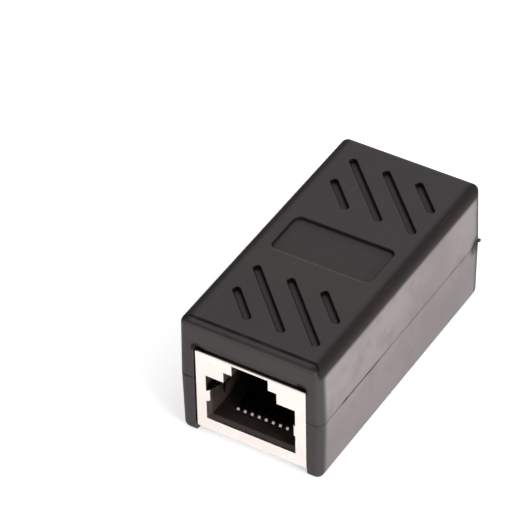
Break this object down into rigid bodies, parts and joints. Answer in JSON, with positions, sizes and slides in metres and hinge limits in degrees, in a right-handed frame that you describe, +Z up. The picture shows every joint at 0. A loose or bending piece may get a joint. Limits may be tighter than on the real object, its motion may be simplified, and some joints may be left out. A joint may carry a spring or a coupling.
{
  "type": "rj45 inline coupler",
  "caption": "Shielded inline coupler for network cables: a black two-part moulded case with slanted grip grooves and a modular socket at each end.",
  "frame": {"origin": "middle of the underside, on the surface the coupler rests on", "axes": "+Z up through the face with the label recess, +Y along the length from the front socket to the rear socket, +X to the right seen from the front"},
  "size_m": [0.0204, 0.041, 0.0184],
  "materials": {
    "shell_plastic": "satin black moulded plastic",
    "housing_plastic": "satin black moulded plastic",
    "shield_nickel": "bright nickel-plated sheet",
    "contact_plating": "bright plated spring wire",
    "board_laminate": "green solder mask on laminate",
    "solder": "bright solder"
  },
  "bodies": {
    "root": {"lower_shell": "shell_plastic", "upper_shell": "shell_plastic", "circuit_board": "board_laminate", "front_shield": "shield_nickel", "front_jack_housing": "housing_plastic", "front_contact_carrier": "housing_plastic", "front_signal_solder": "solder", "front_contact_1": "contact_plating", "front_contact_2": "contact_plating", "front_contact_3": "contact_plating", "front_contact_4": "contact_plating", "front_contact_5": "contact_plating", "front_contact_6": "contact_plating", "front_contact_7": "contact_plating", "front_contact_8": "contact_plating", "rear_shield": "shield_nickel", "rear_jack_housing": "housing_plastic", "rear_contact_carrier": "housing_plastic", "rear_signal_solder": "solder", "rear_contact_1": "contact_plating", "rear_contact_2": "contact_plating", "rear_contact_3": "contact_plating", "rear_contact_4": "contact_plating", "rear_contact_5": "contact_plating", "rear_contact_6": "contact_plating", "rear_contact_7": "contact_plating", "rear_contact_8": "contact_plating", "ground_solder": "solder"}
  },
  "joints": []
}
